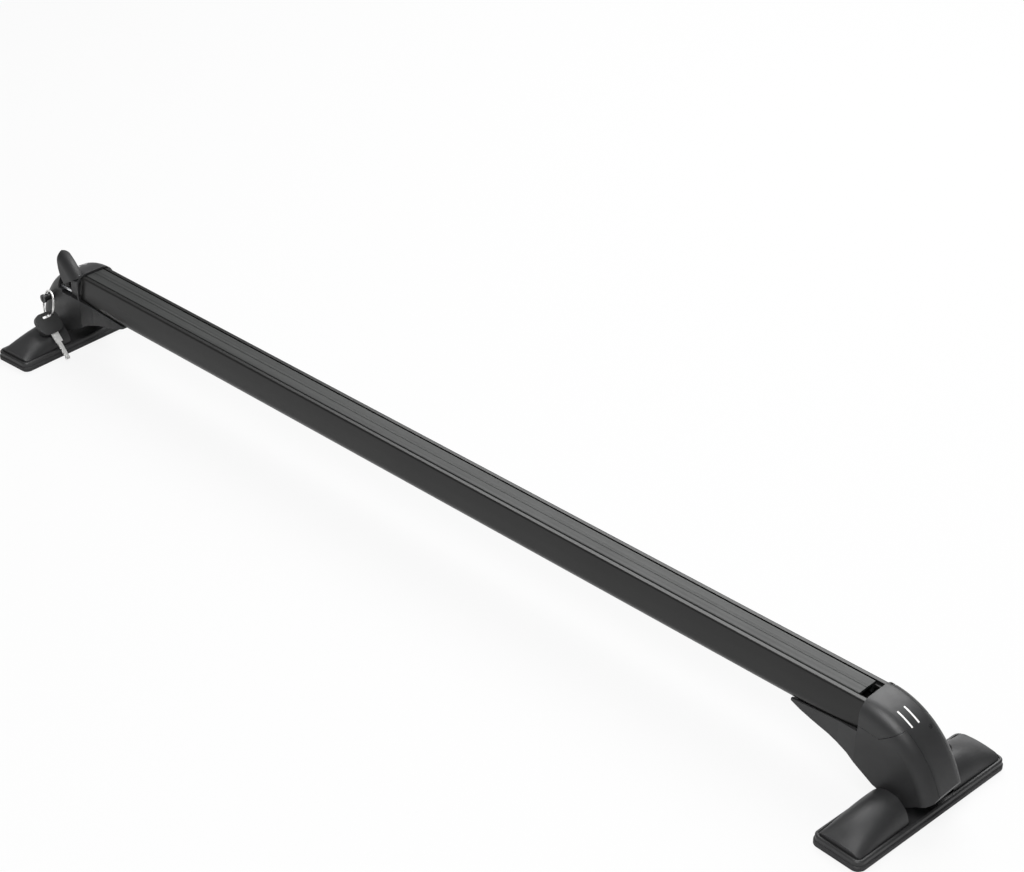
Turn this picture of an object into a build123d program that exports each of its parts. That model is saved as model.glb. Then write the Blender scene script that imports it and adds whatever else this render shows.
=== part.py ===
from build123d import *
import os
from math import atan2, cos, hypot, sin

# Roof rack crossbar: an extruded bar with a rubber slot strip, carried at each end by a moulded
# tower on a tilting foot. X runs along the bar, Y along the car, Z up; the pads stand on Z = 0.
# One end unit is built on the +X side; the other is the same unit turned half round about Z.

# Driving dimensions, millimetres
BAR_LENGTH = 1044.0
BAR_WIDTH = 40.0
BAR_HEIGHT = 36.0
BAR_TOP = 93.0
BAR_WALL = 2.5
SLOT_RECESS = 25.4
SLOT_MOUTH = 19.0
STRIP_SHORT = 10.0
HOOD_RISE = 2.8
SKIN = 3.0
SEAM = 0.3
SHOULDER = 14.0
STRAKE_WIDTH = 27.0
FLAP_DROP = 6.0
FOOT_OUT = 41.5
FOOT_LENGTH = 190.0
FOOT_WIDTH = 51.0
FOOT_CORNER = 8.0
FOOT_TOE = 3.0
FOOT_RIM = 4.4
PAD_HEIGHT = 6.0
RIM_HEIGHT = 5.0
WING_TOP = 31.0
RECESS = 58.0
PIN_Z = 20.0
PIN_R = 3.0
FLAP_OPEN = 60.0
LOCK_TRAVEL = 9.5
WING_SCREW = 49.0
KEY_Y = -46.5

RUN = 0.05
BAR_END = BAR_LENGTH / 2
HOOD_X = BAR_END - 2.5
FOOT_X = HOOD_X + FOOT_OUT
BAR_LOW = BAR_TOP - BAR_HEIGHT
ARM_TOP = BAR_LOW + 10.0
FLOOR = PAD_HEIGHT + RIM_HEIGHT
TOWER_Y = BAR_WIDTH / 2 + 4.0
HINGE_X, HINGE_Z = HOOD_X + 5.0, BAR_TOP - 0.2
FLAP_LOW = BAR_TOP - 20.0
BOLT_X, BOLT_Y, SEAT_Z = HOOD_X + 28.5, TOWER_Y - 8.0, FLAP_LOW - 3.0
LOCK_X, LOCK_Z = FOOT_X + 13.0, PIN_Z + 33.0


def box(x0, x1, y0, y1, z0, z1):
    size = (x1 - x0, y1 - y0, z1 - z0)
    return Pos((x0 + x1) / 2, (y0 + y1) / 2, (z0 + z1) / 2) * Box(*size)


def rod_y(x, z, r, y0, y1):
    return Pos(x, (y0 + y1) / 2, z) * Rot(90, 0, 0) * Cylinder(r, y1 - y0)


def rod_z(x, y, r, z0, z1):
    return Pos(x, y, (z0 + z1) / 2) * Cylinder(r, z1 - z0)


def prism_y(edges, y0, y1):
    """Closed outline drawn at y1 as edges, carried straight back to y0."""
    return extrude(Face(Wire(edges)), y1 - y0, dir=(0, -1, 0))


def polygon_y(points, y0, y1):
    return prism_y(chain([(x, y1, z) for x, z in points], True), y0, y1)


def chain(points, closed=False):
    ends = points[1:] + points[:1] if closed else points[1:]
    return [Edge.make_line(a, b) for a, b in zip(points, ends)]


def arcs(points):
    """Arcs through each start, middle and end."""
    return [Edge.make_three_point_arc(*points[i:i + 3]) for i in range(0, len(points) - 2, 2)]


def turned(shape):
    return Rot(0, 0, 180) * shape


def one(shape):
    """A single solid even where a cut has left crumbs."""
    return max(shape.solids(), key=lambda s: s.volume)


def drop(w):
    """Height of a tower point measured down from the bar top; the foot pin keeps its place."""
    return PIN_Z + (w + 73.0) * (BAR_TOP - PIN_Z) / 73.0


# Bar, strip
def bar_edges(x, grow=0.0):
    """Outside of the bar's section, right round, without its slot."""
    a, b, t = BAR_WIDTH / 2 + grow, BAR_LOW - grow, BAR_TOP + grow
    h = t - b
    half = [(a - 4.3, 0.0), (a - 3.2, -0.4), (a - 2.5, -1.5), (a - 0.75, -0.33 * h), (a, -0.66 * h),
            (a - 1.9, -0.87 * h), (a - 8.5, -h)]
    right = [(x, y, t + z) for y, z in half]
    left = [(x, -y, z) for _, y, z in reversed(right)]
    return (arcs(right) + [Edge.make_line(right[-1], left[0])] + arcs(left)
            + [Edge.make_line(left[-1], right[0])])


def bar_envelope(x0, x1, grow):
    return extrude(Face(Wire(bar_edges(x0, grow))), x1 - x0, dir=(1, 0, 0))


def slot_points(widths):
    """Half outline given as (half width, depth below the bar top), mirrored to a closed one."""
    right = [(w, BAR_TOP + d) for w, d in widths]
    return right + [(-w, z) for w, z in reversed(right)]


def prism_x(points, x0, x1):
    edges = chain([(x0, y, z) for y, z in points], True)
    return extrude(Face(Wire(edges)), x1 - x0, dir=(1, 0, 0))


def make_bar():
    chamber = BAR_WIDTH / 2 - 2 * BAR_WALL
    recess, mouth, tee = SLOT_RECESS / 2, SLOT_MOUTH / 2, SLOT_MOUTH / 2 + 2.7
    slot = [(recess, 1.0), (recess, -2.6), (mouth, -2.6), (mouth, -5.4), (tee, -5.4), (tee, -13.0)]
    low = BAR_WALL - BAR_HEIGHT
    hollow = [(chamber, -13.0 - BAR_WALL), (chamber + 1.5, 0.7 * low), (chamber - 4.0, low)]
    bar = bar_envelope(-BAR_END, BAR_END, 0.0)
    bar -= prism_x(slot_points(slot), -BAR_END - 1, BAR_END + 1)
    bar -= prism_x(slot_points(hollow), -BAR_END - 1, BAR_END + 1)
    for x in BAR_BOLTS:
        for side in (-1, 1):
            bar -= rod_z(side * x, 0, PIN_R + 0.3, BAR_LOW - 1, BAR_LOW + BAR_WALL + 1)
    return bar


def make_strip():
    """Top bar with a rib along its middle and two legs that snap behind the slot's lips."""
    top, stem = SLOT_RECESS / 2 - 1.3, SLOT_MOUTH / 2 - 0.3
    half = [(0.9, 0.45), (1.5, 0.1), (top - 0.7, 0.1), (top, -0.5), (top, -2.6), (stem, -2.6),
            (stem, -6.0), (stem + 1.6, -6.8), (stem - 0.4, -9.4), (stem - 2.4, -9.4), (stem - 2.4, -2.2)]
    return prism_x(slot_points(half), -HOOD_X + 0.3, HOOD_X - STRIP_SHORT)


# Tower hull, split by the seams into cover, flap and body
CROWN = [(0.0, HOOD_RISE), (38.5, -8.2), (64.2, -33.0), (76.0, -56.0)]


def crown(off):
    """Joints of the tower's outer line, from the hood's front edge over the shoulder to the lower rim,
    with the heading there: tangent arcs run between them, off inside the surface."""
    line, heading = [], 0.0
    for i, (u, w) in enumerate(CROWN):
        x, z = HOOD_X + u, drop(w)
        if i:
            heading = 2 * atan2(z - last[1], x - last[0]) - heading
        line.append((x + off * sin(heading), z - off * cos(heading), heading))
        last = (x, z)
    return line


def crown_edges(off, y):
    line = crown(off)
    return [Edge.make_tangent_arc((x, y, z), (cos(h), 0, sin(h)), (x1, y, z1))
            for (x, z, h), (x1, z1, _) in zip(line, line[1:])]


def hull(top, half, inner):
    """Solid under a crown line drawn at Y = half, and its two shoulder lines; inner closes the outline."""
    start, end = top[0] @ 0, top[-1] @ 1
    rest = chain([end] + [(x, half, z) for x, z in inner] + [start])
    solid = prism_y(top + rest, -half, half)
    marks = [e @ 0.5 for e in top]
    sides = [(e, e @ 0.5) for e in solid.edges() if abs(abs((e @ 0.5).Y) - half) < 0.01]
    return solid, [e for e, c in sides for m in marks if hypot(c.X - m.X, c.Z - m.Z) < 0.01]


def arm_line():
    """Under side of the tower: nose round the pin, hollow inner curve, arm to its thin tip."""
    return [(HOOD_X + 74.5, drop(-60.5)), (HOOD_X + 70, drop(-64.0)), (HOOD_X + 62, drop(-67.5)),
            (FOOT_X + 12, PIN_Z - 0.5), (FOOT_X + 7, PIN_Z - 5.5), (FOOT_X, PIN_Z - 7.5),
            (FOOT_X - 7, PIN_Z - 5), (FOOT_X - 14, PIN_Z + 0.5), (HOOD_X + 19, drop(-69.8)),
            (HOOD_X + 6, drop(-62.2)), (HOOD_X - 9, drop(-53.5)), (HOOD_X - 29.5, BAR_LOW - 10.7),
            (HOOD_X - 46, BAR_LOW - 7.2), (HOOD_X - 60, BAR_LOW - 3.6), (HOOD_X - 70, BAR_LOW + 0.2)]


def outer_hull():
    rest = arm_line() + [(HOOD_X - 70, BAR_LOW + 2.5), (HOOD_X, ARM_TOP)]
    solid, shoulders = hull(crown_edges(0.0, TOWER_Y), TOWER_Y, rest)
    solid = fillet(shoulders, SHOULDER)
    wide = TOWER_Y + 0.1
    half = [(HOOD_X + 120, wide), (HOOD_X, wide), (HOOD_X - 20, BAR_WIDTH / 2 + 1.5),
            (HOOD_X - 80, BAR_WIDTH / 2 - 1.2)]
    plan = [(x, y, -10) for x, y in half] + [(x, -y, -10) for x, y in reversed(half)]
    return solid & extrude(Face(Wire(chain(plan, True))), BAR_TOP + 40, dir=(0, 0, 1))


def inner_hull(off):
    """The same run on past both ends and one skin further in, its shoulders cut flat: the skins' inside."""
    half, lead, tail = TOWER_Y - off, 12.0, 24.0
    line = crown(off)
    (x0, z0, _), (x1, z1, h) = line[0], line[-1]
    low = (x1 + tail * cos(h), z1 + tail * sin(h))
    top = [Edge.make_line((x0 - lead, half, z0), (x0, half, z0)), *crown_edges(off, half),
           Edge.make_line((x1, half, z1), (low[0], half, low[1]))]
    solid, shoulders = hull(top, half, [(x0 - lead, low[1])])
    return chamfer(shoulders, 0.4 * SHOULDER)


def hood_zone(grow, y0, y1, x0):
    """Side view of the hood: up to the slanted seam that crosses the shoulder."""
    low, g = FLAP_LOW - grow, grow * 1.2
    pts = [(x0, low), (HOOD_X + 8, low - 0.5), (HOOD_X + 20 + g, low - 2.5), (HOOD_X + 40 + g, drop(-8.3)),
           (HOOD_X + 44, BAR_TOP + 20), (x0, BAR_TOP + 20)]
    return polygon_y(pts, y0, y1)


def flap_zone(grow, y0, y1, x0):
    """Side view of the flap: deeper than the hood, with an end rounded to swing clear of the tower."""
    low, x, end = FLAP_LOW - FLAP_DROP - grow, HOOD_X + 1.2 * grow, drop(-8.3)
    arc = [(x + 12, y1, low), (x + 29, y1, low + 0.36 * (end - low)), (x + 40, y1, end)]
    rest = [arc[-1], (HOOD_X + 44, y1, BAR_TOP + 20), (x0, y1, BAR_TOP + 20), (x0, y1, low), arc[0]]
    return prism_y([Edge.make_three_point_arc(*arc)] + chain(rest), y0, y1)


def flap_corner(grow):
    """Corner beside the strake that the flap's rounded end leaves to the tower."""
    x, y, r = HOOD_X + 31, STRAKE_WIDTH / 2 + SEAM, 7.0
    corner = box(x, HOOD_X + 60, y, y + r, PIN_Z, BAR_TOP + 20)
    return corner - Pos(x, y + r, BAR_TOP) * Cylinder(r + grow, 4 * BAR_TOP)


def strake_zone(grow):
    half = STRAKE_WIDTH / 2 + grow
    return box(HOOD_X + 15, HOOD_X + 100, -half, half, PIN_Z - 10, BAR_TOP + 20)


def cavity():
    x, f = HOOD_X, FOOT_X
    pts = [(x - 14, BAR_LOW - 0.1), (x + 8.5, BAR_LOW - 0.1), (x + 8.5, SEAT_Z - 8), (f + 9, SEAT_Z - 8),
           (f + 19, PIN_Z + 33), (f + 22, PIN_Z + 24), (f + 20, PIN_Z + 17), (f + 10, PIN_Z + 8),
           (f + 10, PIN_Z - 10), (f - 9, PIN_Z - 10), (f - 9, PIN_Z + 2.0), (f - 25, PIN_Z + 11),
           (x + 1.5, BAR_LOW - 19), (x - 14, BAR_LOW - 10)]
    return polygon_y(pts, -TOWER_Y + 7, TOWER_Y - 7)


BAR_BOLTS = (HOOD_X - 34.0, HOOD_X - 14.0)
ARM_T = 4.0


def screw_frame():
    """Where the cover's screw sits: on the crown, just past the flap's end, square to the surface."""
    edge, k = crown_edges(0.0, STRAKE_WIDTH / 2 - 4.0)[1], 0.28
    way = edge % k
    return Plane(edge @ k, z_dir=(-way.Z, 0, way.X))


def along(frame, r, z0, z1):
    return frame * Pos(0, 0, (z0 + z1) / 2) * Cylinder(r, z1 - z0)


def make_body(outer):
    half = STRAKE_WIDTH / 2
    core = outer & inner_hull(SKIN + SEAM)
    core -= box(HOOD_X - 1, BAR_END + 0.5, -TOWER_Y, TOWER_Y, ARM_TOP, BAR_TOP + 20)
    skin = outer - hood_zone(SEAM, -60, 60, HOOD_X - 5) - strake_zone(SEAM)
    body = core + (skin - flap_zone(SEAM, half, 60, HOOD_X + 2.2))
    body -= bar_envelope(HOOD_X - 90, BAR_END + 0.5, 0.4)
    body -= cavity()
    y = BAR_WIDTH / 2 - 5.6
    body -= box(HOOD_X - 47.5, HOOD_X, -y, y, BAR_LOW - ARM_T - 0.3, BAR_LOW + 2)
    for x in BAR_BOLTS:
        body -= rod_z(x, 0, 7.5, PIN_Z, BAR_LOW - 1)
    # bolt pocket under the flap, notch that shows the seat plate, hinge boss
    body -= box(BOLT_X - 12, BOLT_X + 8.5, BOLT_Y - 9.5, 40, SEAT_Z, BAR_TOP + 20)
    body -= box(BOLT_X - 12, BOLT_X + 2, TOWER_Y - 6.5, 40, SEAT_Z - 3.5, SEAT_Z + 1)
    body -= rod_z(BOLT_X, BOLT_Y, PIN_R + 0.4, BAR_LOW, SEAT_Z + 1)
    body -= box(BOLT_X - 7.5, BOLT_X + 7.5, 0, TOWER_Y - 3.4, SEAT_Z - 34, SEAT_Z - 8)
    body -= box(HOOD_X + 2, HOOD_X + 9, 6.7, 40, HINGE_Z - 4.5, BAR_TOP + 20)
    body += (outer - inner_hull(SKIN)) & flap_corner(SEAM)
    # lock bore, pin bore, screw hole
    body -= rod_y(LOCK_X, LOCK_Z, 5.0 + RUN, TOWER_Y - 8.5, 40)
    body -= rod_y(LOCK_X, LOCK_Z, 6.5, TOWER_Y - 22, TOWER_Y - 7)
    body -= rod_y(FOOT_X, PIN_Z, PIN_R + RUN, -40, 40)
    body -= along(screw_frame(), 1.1 + RUN, -13.0, 1.0)
    return one(body)


def make_cover(outer):
    half = STRAKE_WIDTH / 2
    zone = hood_zone(0.0, -60, half, HOOD_X - 5) + strake_zone(0.0)
    zone += box(HOOD_X - 5, HOOD_X + 2, half - 1, 60, FLAP_LOW, BAR_TOP + 20)
    cover = (outer - inner_hull(SKIN)) & zone
    cover += box(HOOD_X + 3, HOOD_X + 8, 7.2, half, HINGE_Z - 3.8, HINGE_Z + 1.5)
    cover -= bar_envelope(HOOD_X - 90, BAR_END + 0.4, 0.4)
    cover -= rod_y(HINGE_X, HINGE_Z, 1.0 + RUN, 7.0, 20)
    frame = screw_frame()
    cover -= along(frame, 1.7 + 0.3, -1.8, 5.0)
    cover -= along(frame, 1.1 + 0.3, -8.0, 5.0)
    return one(cover)


def make_flap(outer):
    """Leaf-shaped flap: hinged beside the bar's end, rounded at its free end."""
    near = STRAKE_WIDTH / 2 + SEAM
    flap = (outer - inner_hull(SKIN)) & flap_zone(-SEAM, near, 60, HOOD_X + 2.8)
    corner = box(HOOD_X, HINGE_X, 0, 60, HINGE_Z, BAR_TOP + 20) - rod_y(HINGE_X, HINGE_Z, 2.3, -1, 61)
    knuckle = rod_y(HINGE_X, HINGE_Z, 2.2, near, near + 3.6) & outer
    flap = flap - corner - flap_corner(0.0) + knuckle
    return one(flap - rod_y(HINGE_X, HINGE_Z, 1.0 + RUN, near - 1, near + 3.8))


# Steel inside the tower
def make_bracket():
    """Strap bolted under the bar, bent down to an eye round the foot pin."""
    half, t = BAR_WIDTH / 2 - 6.0, ARM_T
    bend, z = HOOD_X - 3.5, BAR_LOW
    dx, dz = FOOT_X - bend, PIN_Z - z
    run = hypot(dx, dz)
    nx, nz = dz / run * t, -dx / run * t
    pts = [(HOOD_X - 46, z), (bend, z), (FOOT_X, PIN_Z), (FOOT_X + nx, PIN_Z + nz), (bend - 1.6, z - t),
           (HOOD_X - 46, z - t)]
    strap = polygon_y(pts, -half, half) + rod_y(FOOT_X, PIN_Z, 7.0, -half, half)
    for x in BAR_BOLTS:
        strap -= rod_z(x, 0, PIN_R + 0.3, BAR_LOW - 10, BAR_LOW + 1)
    return one(strap - rod_y(FOOT_X, PIN_Z, PIN_R + RUN, -40, 40))


def make_nut_plate():
    floor = BAR_LOW + BAR_WALL
    plate = box(HOOD_X - 40, BAR_END - 2, -9, 9, floor, floor + 5)
    for x in BAR_BOLTS:
        plate -= rod_z(x, 0, PIN_R + RUN, floor - 1, floor + 6)
    return plate


def make_bar_bolt(x):
    z = BAR_LOW - ARM_T
    head = rod_z(x, 0, 6.3, z - 1.5, z) + Pos(x, 0, z - 5.3) * extrude(RegularPolygon(5.4, 6), 4)
    return head + rod_z(x, 0, PIN_R, z - 1, BAR_LOW + BAR_WALL + 4.5)


def make_seat():
    plate = box(BOLT_X - 11, BOLT_X + 7.5, BOLT_Y - 8.5, TOWER_Y - 3.5, SEAT_Z, SEAT_Z + 3)
    return plate - rod_z(BOLT_X, BOLT_Y, PIN_R + 0.2, SEAT_Z - 1, SEAT_Z + 4)


def make_clamp_bolt():
    z = SEAT_Z + 3.1
    bolt = rod_z(BOLT_X, BOLT_Y, 4.5, z, z + 6) + rod_z(BOLT_X, BOLT_Y, PIN_R, SEAT_Z - 33, z + 1)
    return bolt - Pos(BOLT_X, BOLT_Y, z + 2.5) * extrude(RegularPolygon(2.3, 6), 4)


def make_carrier():
    z = SEAT_Z - 30
    block = box(BOLT_X - 6.5, BOLT_X + 6.5, BOLT_Y - 26, BOLT_Y + 4.2, z, z + 10)
    block -= box(BOLT_X - 7, BOLT_X + 7, BOLT_Y - 20, BOLT_Y - 6, z + 2.5, z + 7.5)
    return block - rod_z(BOLT_X, BOLT_Y, PIN_R + RUN, z - 1, z + 11)


def make_lock(out):
    """Push-in barrel in the tower's wall: cam inside, grooved nose with the keyway, standing out by out."""
    y = TOWER_Y + 0.8 + out
    lock = rod_y(LOCK_X, LOCK_Z, 4.8, y - 2.3, y) + rod_y(LOCK_X, LOCK_Z, 3.6, y - 10.3, y - 2)
    lock += rod_y(LOCK_X, LOCK_Z, 5.0, y - 18.3, y - 10.1)
    lock += box(LOCK_X - 3.5, LOCK_X + 3.5, y - 21.8, y - 18, LOCK_Z - 12, LOCK_Z + 3.5)
    return one(lock - box(LOCK_X - 0.6, LOCK_X + 0.6, y - 1.7, y + 1, LOCK_Z - 2.8, LOCK_Z + 2.8))


def make_cover_screw():
    frame = screw_frame()
    screw = along(frame, 1.7, -1.4, 0.1) + along(frame, 1.1, -11.0, -1.0)
    return screw - frame * Box(2.2, 0.5, 1.2) - frame * Box(0.5, 2.2, 1.2)


# Foot, drawn about its own middle and moved out to the pin
def slab(length, width, r, z0, z1):
    return Pos(0, 0, z0) * extrude(RectangleRounded(width, length, r), z1 - z0)


def soft_slab(inset, z0, z1, low, top):
    """Slab of the foot's outline with its lower and upper rims cut back."""
    solid = slab(FOOT_LENGTH - 2 * inset, FOOT_WIDTH - 2 * inset, FOOT_CORNER - inset, z0, z1)
    solid = chamfer(solid.faces().sort_by(Axis.Z)[-1].edges(), top)
    return chamfer(solid.faces().sort_by(Axis.Z)[0].edges(), low)


def arch(y, half, top):
    """Section of a wing at y: two steep flanks and a round top, closed by its foot line."""
    rise = top - FLOOR
    flank = [(-half, 0.0), (-0.876 * half, 0.44), (-0.58 * half, 0.8)]
    line = flank + [(0.0, 1.0)] + [(-x, k) for x, k in reversed(flank)]
    pts = [(x, y, FLOOR + k * rise) for x, k in line]
    return Face(Wire(arcs(pts) + [Edge.make_line(pts[-1], pts[0])]))


def toed(shape, toe):
    """Turned about the foot's middle, as the feet follow the roof's sides, which draw in towards the front."""
    return Rot(0, 0, toe) * shape


def make_wings(toe):
    start, end, half = RECESS / 2, FOOT_LENGTH / 2 - FOOT_RIM, FOOT_WIDTH / 2 - FOOT_RIM
    line = [(start, WING_TOP), ((start + end) / 2, WING_TOP - 3.5), (end + 2, FLOOR + 3.0)]
    wing = loft([arch(y, half, top) for y, top in line])
    wing &= slab(2 * end, 2 * half, FOOT_CORNER - FOOT_RIM, FLOOR - 1, WING_TOP + 5)
    far, roof = start + 0.68 * (end - start), FLOOR + 0.72 * (WING_TOP - FLOOR) - 2.5
    line = [(start + 3, FLOOR - 1), (start + 3, roof), (far, FLOOR + 2.5), (far, FLOOR - 1)]
    wing -= prism_x(line, -0.6 * half, 0.6 * half)
    wing += rod_z(0, WING_SCREW, 4.0, FLOOR, FLOOR + 9.5)
    wing -= rod_z(0, WING_SCREW, 1.6 + RUN, FLOOR - 1, FLOOR + 6.4)
    room = rod_y(0, PIN_Z, PIN_R + 1.0, start - 4, start + 4)
    room += box(-5.6, 5.6, start + 2.8, start + 9, FLOOR - 1, PIN_Z + 5.6)
    return Compound([one(toed(wing, toe) - room), one(toed(turned(wing), toe) - turned(room))])


def make_base(toe):
    """Tray between pad and wings: a rim, a groove round each wing, a sunk middle floor, two pin lugs."""
    base = soft_slab(1.0, PAD_HEIGHT, FLOOR, 0.4, 1.2)
    long, wide, r = FOOT_LENGTH - 2 * FOOT_RIM, FOOT_WIDTH - 2 * FOOT_RIM, FOOT_CORNER - FOOT_RIM
    groove = slab(long + 2, wide + 2, r + 1, FLOOR - 1, FLOOR + 1)
    groove -= slab(long, wide, r, FLOOR - 2, FLOOR + 2)
    base -= groove - box(-FOOT_WIDTH, FOOT_WIDTH, -RECESS / 2, RECESS / 2, FLOOR - 2, FLOOR + 2)
    base -= box(-wide / 2, wide / 2, 1 - RECESS / 2, RECESS / 2 - 1, FLOOR - 2.5, FLOOR + 1)
    z = PAD_HEIGHT - 1
    hole = rod_z(0, WING_SCREW, 1.9, z, FLOOR + 1) + rod_z(0, WING_SCREW, 3.4, z, PAD_HEIGHT + 2)
    base = toed(base - hole - turned(hole), toe)
    y = (RECESS / 2 + 3.6, RECESS / 2 + 8.4)
    lug = rod_y(0, PIN_Z, 5.0, *y) + box(-5.0, 5.0, *y, FLOOR - 1, PIN_Z)
    lug -= rod_y(0, PIN_Z, PIN_R + RUN, *y)
    return base + lug + turned(lug)


def make_wing_screws(toe):
    z = PAD_HEIGHT
    screw = rod_z(0, WING_SCREW, 3.0, z + 0.2, z + 1.9) + rod_z(0, WING_SCREW, 1.6, z + 1, FLOOR + 6)
    return Compound([toed(screw, toe), toed(turned(screw), toe)])


def make_pad(toe):
    pad = soft_slab(0.0, 0.0, PAD_HEIGHT, 1.6, 1.0)
    count, border = 9, 5.0
    for i in range(count):
        y = (i - (count - 1) / 2) * FOOT_LENGTH / (count + 1)
        pad -= box(border - FOOT_WIDTH / 2, FOOT_WIDTH / 2 - border, y - 1.5, y + 1.5, -1, 1.2)
    return toed(pad, toe)


# Key on its ring, hung on the -X lock's nose and leaning over that foot's near wing
def key_frame():
    return Plane((-FOOT_X + 44.4, KEY_Y, 2.5), x_dir=(0, 1, 0), z_dir=(0.72, 0, 0.694))


def make_key():
    """Blade and moulded head in the key's own plane: local Y runs from the tip up to the head."""
    frame = key_frame()
    blade = Pos(0, 20.5, 0) * Box(5.0, 35, 2.0) + Pos(0.7, 30, 0) * Box(8.6, 12, 2.0)
    for y, deep in ((7, 1.2), (11, 0.7), (15.5, 1.4)):
        blade -= Pos(-2.5, y, 0) * Rot(0, 0, 45) * Box(deep * 1.5, deep * 1.5, 6)
    head = Pos(0, 47.5, -2.6) * extrude(RectangleRounded(28, 25, 8), 5.2)
    head -= Pos(3.0, 55.2, 0) * Box(14, 3.6, 12)
    head -= Pos(0.7, 36.3, 0) * Box(9.2, 5, 2.6)
    return frame * blade, frame * head


def make_ring():
    """Flat ring through the head's slot and round the neck of the lock's nose."""
    neck = Vector(-LOCK_X, -TOWER_Y - 5.0, LOCK_Z)
    slot = Vector(*key_frame().from_local_coords(Vector(8.6, 55.2, 0)))
    reach = slot - neck
    across = Vector(0.72, 0, 0.694)
    pull = reach.normalized()
    normal = pull.cross(across).normalized()
    wire, clear = 0.8, 3.6 / abs(normal.Y) + 1.0
    radius = (reach.length + wire + clear) / 2
    centre = slot - pull * radius
    band = Cylinder(radius + wire, 2 * wire) - Cylinder(radius - wire, 2 * wire)
    return Plane(centre, x_dir=pull, z_dir=normal) * band


def write(name, shape):
    export_step(shape, os.path.join("parts", name + ".step"))


def main():
    os.makedirs("parts", exist_ok=True)
    outer = outer_hull()
    flap = make_flap(outer)
    half = STRAKE_WIDTH / 2
    unit = {
        "tower": make_body(outer),
        "cover": make_cover(outer),
        "flap_pin": rod_y(HINGE_X, HINGE_Z, 1.0, 7.6, half + SEAM + 3.4),
        "bracket": make_bracket(),
        "nut_plate": make_nut_plate(),
        "seat_plate": make_seat(),
        "clamp_bolt": make_clamp_bolt(),
        "hook_carrier": make_carrier(),
        "foot_pin": rod_y(FOOT_X, PIN_Z, PIN_R, -RECESS / 2 - 8.2, RECESS / 2 + 8.2),
    }
    for name, shape in unit.items():
        write(name + "_r", shape)
        write(name + "_l", turned(shape))
    for side, x, toe in (("_r", FOOT_X, -FOOT_TOE), ("_l", -FOOT_X, FOOT_TOE)):
        foot = {"foot_base": make_base(toe), "foot_pad": make_pad(toe), "wings": make_wings(toe),
                "wing_screws": make_wing_screws(toe)}
        for name, shape in foot.items():
            write(name + side, Pos(x, 0, 0) * shape)
    write("lock_r", make_lock(0.0))
    write("lock_l", turned(make_lock(LOCK_TRAVEL)))
    write("flap_r", flap)
    hinge = Axis((HINGE_X, 0, HINGE_Z), (0, -1, 0))
    write("flap_l", turned(flap.rotate(hinge, FLAP_OPEN)))
    bolts = [make_bar_bolt(x) for x in BAR_BOLTS]
    write("bar_bolts", Compound(bolts + [turned(b) for b in bolts]))
    screw = make_cover_screw()
    write("cover_screws", Compound([screw, turned(screw)]))
    write("bar", make_bar())
    write("slot_strip", make_strip())
    blade, head = make_key()
    write("key_blade", blade)
    write("key_head", head)
    write("key_ring", make_ring())


main()
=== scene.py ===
from math import radians

import bmesh
import bpy
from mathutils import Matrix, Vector
from mathutils.bvhtree import BVHTree


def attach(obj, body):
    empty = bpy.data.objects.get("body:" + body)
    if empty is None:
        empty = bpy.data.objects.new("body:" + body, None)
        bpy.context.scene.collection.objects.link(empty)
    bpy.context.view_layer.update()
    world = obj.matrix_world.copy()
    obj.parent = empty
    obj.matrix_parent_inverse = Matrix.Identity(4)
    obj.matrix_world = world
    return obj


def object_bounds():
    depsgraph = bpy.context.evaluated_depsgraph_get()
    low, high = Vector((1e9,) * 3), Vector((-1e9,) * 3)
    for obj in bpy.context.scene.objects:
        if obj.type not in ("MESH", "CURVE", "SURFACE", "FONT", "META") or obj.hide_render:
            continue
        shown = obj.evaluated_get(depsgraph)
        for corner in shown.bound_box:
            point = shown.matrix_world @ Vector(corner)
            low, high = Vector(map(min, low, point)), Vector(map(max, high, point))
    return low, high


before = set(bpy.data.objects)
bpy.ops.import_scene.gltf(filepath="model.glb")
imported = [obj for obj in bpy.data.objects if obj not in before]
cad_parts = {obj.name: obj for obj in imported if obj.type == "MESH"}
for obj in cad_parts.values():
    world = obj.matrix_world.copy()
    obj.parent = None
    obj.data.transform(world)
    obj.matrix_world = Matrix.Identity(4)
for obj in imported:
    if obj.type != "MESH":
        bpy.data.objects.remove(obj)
cad_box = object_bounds()

# Bar: one length of aluminium extrusion, drawn through a die, cut, and anodised black.
# The die leaves faint lines along its whole length, which show in the gloss of the sides.
BAR_TINT, BAR_STREAK = (0.006, 0.006, 0.0059), (0.011, 0.011, 0.0107)
ANODISING_IOR = 1.42
EDGE_BREAK, EDGE_SAMPLES = 0.0004, 4


def tools_of(tree):
    """A way to add nodes to a tree, each with its settings, and a way to wire them."""
    def add(kind, **settings):
        node = tree.nodes.new(kind)
        for key, value in settings.items():
            if key in node.inputs:
                node.inputs[key].default_value = value
            else:
                setattr(node, key, value)
        return node

    return add, tree.links.new


def nodes_of(name):
    """New material with its shader, and a way to add and wire nodes."""
    material = bpy.data.materials.new(name)
    material.use_nodes = True
    add, wire = tools_of(material.node_tree)
    return material, material.node_tree.nodes["Principled BSDF"], add, wire


def texture_place(add, wire, stretch=(1, 1, 1)):
    """Object coordinates, so a finish stays on its piece as it moves; stretch draws it out along an axis."""
    place = add("ShaderNodeTexCoord")
    drawn = add("ShaderNodeMapping", Scale=stretch)
    wire(place.outputs["Object"], drawn.inputs["Vector"])
    return drawn.outputs["Vector"]


def noise(add, wire, place, scale, detail=2):
    """Cloudy pattern, with the scale in clouds to the metre."""
    cloud = add("ShaderNodeTexNoise", Scale=scale, Detail=detail)
    wire(place, cloud.inputs["Vector"])
    return cloud.outputs["Fac"]


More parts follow.
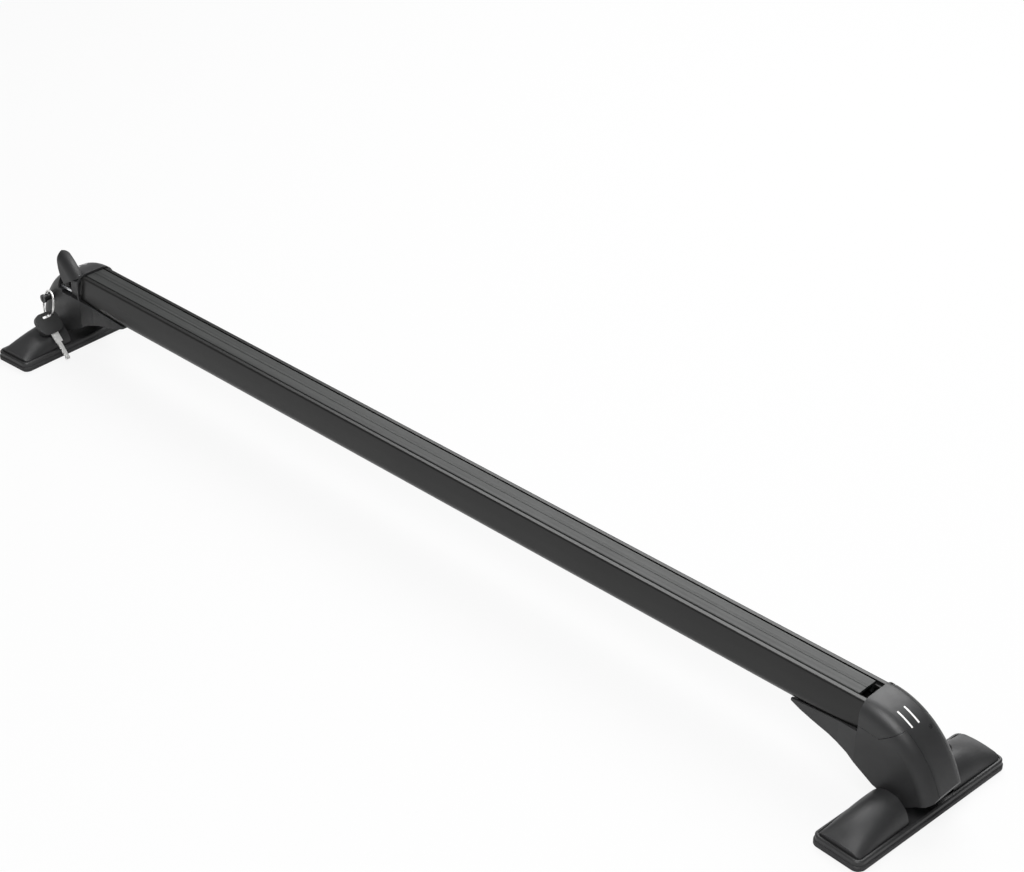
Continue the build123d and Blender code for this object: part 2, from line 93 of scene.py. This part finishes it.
def tint(add, wire, fac, dark, light, low=0.35, high=0.65):
    """Colour that goes from dark to light with a pattern."""
    ramp = add("ShaderNodeValToRGB")
    ends = ramp.color_ramp.elements
    ends[0].position, ends[1].position = low, high
    ends[0].color, ends[1].color = (*dark, 1), (*light, 1)
    wire(fac, ramp.inputs["Fac"])
    return ramp.outputs["Color"]


def spread(add, wire, fac, low, high):
    """Value that goes from low to high with a pattern."""
    reach = add("ShaderNodeMapRange", **{"To Min": low, "To Max": high})
    wire(fac, reach.inputs["Value"])
    return reach.outputs["Result"]


def bump(add, wire, height, depth, strength):
    """Relief of a finish, over edges broken by a small radius as on every real piece."""
    round_off = add("ShaderNodeBevel", samples=EDGE_SAMPLES, Radius=EDGE_BREAK)
    relief = add("ShaderNodeBump", Strength=strength, Distance=depth)
    wire(round_off.outputs["Normal"], relief.inputs["Normal"])
    wire(height, relief.inputs["Height"])
    return relief.outputs["Normal"]


def anodised_black():
    material, shader, add, wire = nodes_of("black_anodising")
    streaks = noise(add, wire, texture_place(add, wire, stretch=(0.6, 1, 1)), scale=9)
    die_lines = noise(add, wire, texture_place(add, wire, stretch=(0.004, 1, 1)), scale=900, detail=3)
    wire(tint(add, wire, streaks, BAR_TINT, BAR_STREAK), shader.inputs["Base Color"])
    wire(spread(add, wire, die_lines, low=0.24, high=0.38), shader.inputs["Roughness"])
    wire(bump(add, wire, die_lines, depth=0.00002, strength=0.25), shader.inputs["Normal"])
    shader.inputs["IOR"].default_value = ANODISING_IOR
    return material


def finish(material, *names):
    """Gives CAD pieces their material."""
    for name in names:
        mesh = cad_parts[name].data
        mesh.materials.clear()
        mesh.materials.append(material)


finish(anodised_black(), "bar")

# Slot strip: extruded dark grey rubber pressed into the bar's T-slot, with a thin rib along its middle.
# Its top has the faint drag lines of the extruder and a little dust.
STRIP_DARK, STRIP_LIGHT = (0.018, 0.019, 0.0185), (0.033, 0.0345, 0.0335)
STRIP_GLOSS = 0.3


def strip_rubber():
    material, shader, add, wire = nodes_of("strip_rubber")
    drag = noise(add, wire, texture_place(add, wire, stretch=(0.006, 1, 1)), scale=420, detail=4)
    dust = noise(add, wire, texture_place(add, wire, stretch=(0.4, 1, 1)), scale=60, detail=5)
    wire(tint(add, wire, drag, STRIP_DARK, STRIP_LIGHT), shader.inputs["Base Color"])
    wire(spread(add, wire, dust, low=0.36, high=0.50), shader.inputs["Roughness"])
    wire(bump(add, wire, drag, depth=0.00005, strength=0.3), shader.inputs["Normal"])
    shader.inputs["Specular IOR Level"].default_value = STRIP_GLOSS
    return material


finish(strip_rubber(), "slot_strip")

# Towers, covers, flaps, foot bases and wings: glass-filled nylon, moulded black with an eroded grain.
# The cover is a thin shell over the tower, the flap closes its corner, and the wings screw to the base.
ENDS = {"r": 1, "l": -1}
MOULD_DARK, MOULD_LIGHT = (0.017, 0.0172, 0.0178), (0.027, 0.0272, 0.028)
MOULD_GLOSS = 0.42


def moulded_black(name, dark, light, rough, swing=0.07):
    material, shader, add, wire = nodes_of(name)
    place = texture_place(add, wire)
    mottle = noise(add, wire, place, scale=24, detail=6)
    patches = noise(add, wire, place, scale=130, detail=4)
    grain = noise(add, wire, place, scale=1500, detail=4)
    wire(tint(add, wire, mottle, dark, light), shader.inputs["Base Color"])
    wire(spread(add, wire, patches, rough - swing, rough + swing), shader.inputs["Roughness"])
    wire(bump(add, wire, grain, depth=0.0001, strength=0.35), shader.inputs["Normal"])
    shader.inputs["Specular IOR Level"].default_value = MOULD_GLOSS
    return material


nylon = moulded_black("grained_nylon", MOULD_DARK, MOULD_LIGHT, rough=0.42)
for end in ENDS:
    finish(nylon, *(part + "_" + end for part in ("tower", "cover", "flap", "foot_base", "wings")))

# Cover lines: two short lines of white paint, rolled on the cover's crown beside its middle.
# Each follows the curve of the cover and lies a hair above it.
LINE_WIDTH, LINE_LIFT, LINE_STEPS = 0.0018, 0.00006, 14
LINE_RUN = (0.5440, 0.5595)
LINE_PLACES = (-0.0074, 0.0016)
ABOVE_COVER = 0.2
PAINT_DARK, PAINT_LIGHT = (0.72, 0.72, 0.71), (0.86, 0.86, 0.85)


def line_paint():
    material, shader, add, wire = nodes_of("line_paint")
    wear = noise(add, wire, texture_place(add, wire), scale=700, detail=5)
    wire(tint(add, wire, wear, PAINT_DARK, PAINT_LIGHT), shader.inputs["Base Color"])
    wire(spread(add, wire, wear, low=0.42, high=0.6), shader.inputs["Roughness"])
    return material


def painted_lines(end, side, material):
    """Both lines of one cover, from points dropped on it from above and lifted by the paint's thickness."""
    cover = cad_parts["cover_" + end].data
    skin = BVHTree.FromPolygons([v.co for v in cover.vertices], [p.vertices[:] for p in cover.polygons])

    def on_cover(x, y):
        hit, normal, _, _ = skin.ray_cast(Vector((side * x, side * y, ABOVE_COVER)), Vector((0, 0, -1)))
        return hit + normal * LINE_LIFT

    start, stop = LINE_RUN
    places = [start + (stop - start) * i / LINE_STEPS for i in range(LINE_STEPS + 1)]
    mesh = bmesh.new()
    for middle in LINE_PLACES:
        rails = []
        for edge in (-LINE_WIDTH / 2, LINE_WIDTH / 2):
            rails.append([mesh.verts.new(on_cover(x, middle + edge)) for x in places])
        for i in range(LINE_STEPS):
            mesh.faces.new((rails[0][i], rails[0][i + 1], rails[1][i + 1], rails[1][i]))
    bmesh.ops.recalc_face_normals(mesh, faces=mesh.faces)
    data = bpy.data.meshes.new("cover_lines_" + end)
    mesh.to_mesh(data)
    mesh.free()
    data.materials.append(material)
    lines = bpy.data.objects.new(data.name, data)
    bpy.context.collection.objects.link(lines)
    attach(lines, "frame")


paint = line_paint()
for end, side in ENDS.items():
    painted_lines(end, side, paint)

# Steel: pressed and turned parts, zinc plated. The strap, plates and bolts sit inside the tower;
# only the seat plate's edge is in view.
ZINC_DARK, ZINC_LIGHT = (0.50, 0.51, 0.53), (0.68, 0.69, 0.70)


def plated_steel(name, dark, light, rough):
    material, shader, add, wire = nodes_of(name)
    place = texture_place(add, wire)
    clouding = noise(add, wire, place, scale=160, detail=5)
    handling = noise(add, wire, place, scale=420, detail=3)
    crystals = noise(add, wire, place, scale=900)
    wire(tint(add, wire, clouding, dark, light), shader.inputs["Base Color"])
    wire(spread(add, wire, handling, rough - 0.06, rough + 0.08), shader.inputs["Roughness"])
    wire(bump(add, wire, crystals, depth=0.00003, strength=0.2), shader.inputs["Normal"])
    shader.inputs["Metallic"].default_value = 1.0
    return material


zinc = plated_steel("zinc_plate", ZINC_DARK, ZINC_LIGHT, rough=0.34)
finish(zinc, "bar_bolts")
for end in ENDS:
    finish(zinc, *(part + "_" + end for part in (
        "flap_pin", "bracket", "nut_plate", "seat_plate", "hook_carrier", "foot_pin", "wing_screws")))

# Locks, clamp bolts and cover screws: turned barrels in the towers' walls, with a keyway in the nose,
# the hex bolts under the flaps and the small screws in the covers, all black plated.
LOCK_DARK, LOCK_LIGHT = (0.014, 0.014, 0.0145), (0.024, 0.024, 0.0245)
plating = moulded_black("lock_plating", LOCK_DARK, LOCK_LIGHT, rough=0.34)
finish(plating, "lock_r", "lock_l", "clamp_bolt_r", "clamp_bolt_l", "cover_screws")

# Pads: black rubber mouldings under the feet, softer and duller than the nylon, glued into the base.
# Grooves run across the underside.
PAD_DARK, PAD_LIGHT = (0.016, 0.016, 0.017), (0.026, 0.026, 0.027)
pad = moulded_black("pad_rubber", PAD_DARK, PAD_LIGHT, rough=0.62)
finish(pad, "foot_pad_r", "foot_pad_l")

# Key: a stamped, nickel-plated blade in a moulded black head, on a wire ring.
# The ring hangs on the nose of the left lock, and the key leans over that foot's wing.
NICKEL_DARK, NICKEL_LIGHT = (0.88, 0.875, 0.86), (0.96, 0.955, 0.94)
HEAD_DARK, HEAD_LIGHT = (0.014, 0.0143, 0.0145), (0.021, 0.0214, 0.0216)
finish(plated_steel("nickel_plate", NICKEL_DARK, NICKEL_LIGHT, rough=0.42), "key_blade", "key_ring")
finish(moulded_black("key_head_plastic", HEAD_DARK, HEAD_LIGHT, rough=0.42), "key_head")

# Studio: a white floor on which the part stands, lit by a wide soft box behind it and a weaker one in front.
# To the camera the room is as white as the far floor. Its light is pale near the horizon and dim above, so
# tops are dark where no lamp shows in them.
FLOOR_REACH, FLOOR_DROP = 14.0, 0.0002
FLOOR_WHITE = (0.60, 0.60, 0.60)
FLOOR_ROUGH = 0.9
FLOOR_SEEN, FLOOR_MIRRORED = 0.87, 0.35
ROOM_MIRRORED = 0.2
ROOM_PALE, ROOM_DIM = 0.5, 0.08
PALE_UP_TO, DIM_FROM = 0.12, 0.28


def reckon(add, wire, operation, first, second):
    """Result of one sum on two values, each a number or another node's output."""
    node = add("ShaderNodeMath", operation=operation)
    for value, socket in zip((first, second), node.inputs):
        if isinstance(value, float):
            socket.default_value = value
        else:
            wire(value, socket)
    return node.outputs[0]


def white_share(add, wire, seen, mirrored):
    """Share of plain white that a backdrop shows: to the camera and through glass, and in a gloss."""
    ray = add("ShaderNodeLightPath").outputs
    direct = reckon(add, wire, "MAXIMUM", ray["Is Camera Ray"], ray["Is Transmission Ray"])
    by_sight = reckon(add, wire, "MULTIPLY", direct, seen)
    by_gloss = reckon(add, wire, "MULTIPLY", ray["Is Glossy Ray"], mirrored)
    return reckon(add, wire, "MAXIMUM", by_sight, by_gloss)


def floor_white():
    material, shader, add, wire = nodes_of("studio_floor")
    shader.inputs["Base Color"].default_value = (*FLOOR_WHITE, 1)
    shader.inputs["Roughness"].default_value = FLOOR_ROUGH
    shader.inputs["Specular IOR Level"].default_value = 0.0
    glow = add("ShaderNodeEmission")
    mix = add("ShaderNodeMixShader")
    wire(white_share(add, wire, FLOOR_SEEN, FLOOR_MIRRORED), mix.inputs["Fac"])
    wire(shader.outputs["BSDF"], mix.inputs[1])
    wire(glow.outputs["Emission"], mix.inputs[2])
    wire(mix.outputs["Shader"], material.node_tree.nodes["Material Output"].inputs["Surface"])
    return material


sheet = bmesh.new()
bmesh.ops.create_grid(sheet, x_segments=1, y_segments=1, size=FLOOR_REACH)
floor_mesh = bpy.data.meshes.new("studio_floor")
sheet.to_mesh(floor_mesh)
sheet.free()
floor_mesh.materials.append(floor_white())
floor = bpy.data.objects.new("studio_floor", floor_mesh)
floor.location.z = cad_box[0][2] - FLOOR_DROP
bpy.context.collection.objects.link(floor)


def soft_box(name, place, aim, size, watts):
    lamp = bpy.data.lights.new(name, "AREA")
    lamp.shape = "RECTANGLE"
    lamp.size, lamp.size_y = size
    lamp.energy = watts
    holder = bpy.data.objects.new(name, lamp)
    holder.location = place
    holder.rotation_euler = (Vector(aim) - Vector(place)).to_track_quat("-Z", "Y").to_euler()
    bpy.context.collection.objects.link(holder)


soft_box("back_box", place=(-0.4, 1.5, 2.2), aim=(0.5, 0.0, 0.05), size=(2.6, 2.2), watts=95)
soft_box("top_box", place=(0.9, -1.1, 2.2), aim=(0.5, 0.0, 0.05), size=(1.3, 1.3), watts=55)

world = bpy.data.worlds.new("studio_room")
bpy.context.scene.world = world
world.use_nodes = True
wall = world.node_tree.nodes["Background"]
wall.inputs["Color"].default_value = (1, 1, 1, 1)
add, wire = tools_of(world.node_tree)
way = add("ShaderNodeTexCoord")
split = add("ShaderNodeSeparateXYZ")
fade = add("ShaderNodeMapRange", **{
    "From Min": PALE_UP_TO, "From Max": DIM_FROM, "To Min": ROOM_PALE, "To Max": ROOM_DIM})
wire(way.outputs["Generated"], split.inputs["Vector"])
wire(split.outputs["Z"], fade.inputs["Value"])
white = white_share(add, wire, FLOOR_SEEN, ROOM_MIRRORED)
wire(reckon(add, wire, "MAXIMUM", white, fade.outputs["Result"]), wall.inputs["Strength"])

# Camera: a short telephoto, above and to the right of the bar, as the photograph was taken.
# Its place, turn, tilt and focal length, in pixels, were solved from the bar's edges and then set one by
# one.
CAMERA_PLACE = (1.2817, -1.1994, 1.1941)
CAMERA_TURN, CAMERA_TILT = 44.318, 31.737
FOCAL, FRAME_WIDTH, SENSOR = 2203.0, 1024, 36.0
view = bpy.data.cameras.new("camera")
view.sensor_fit, view.sensor_width = "HORIZONTAL", SENSOR
view.lens = SENSOR * FOCAL / FRAME_WIDTH
camera = bpy.data.objects.new("camera", view)
camera.location = CAMERA_PLACE
camera.rotation_euler = (radians(90 - CAMERA_TILT), 0, radians(CAMERA_TURN))
bpy.context.collection.objects.link(camera)
bpy.context.scene.camera = camera
bpy.context.scene.view_settings.view_transform = "Standard"
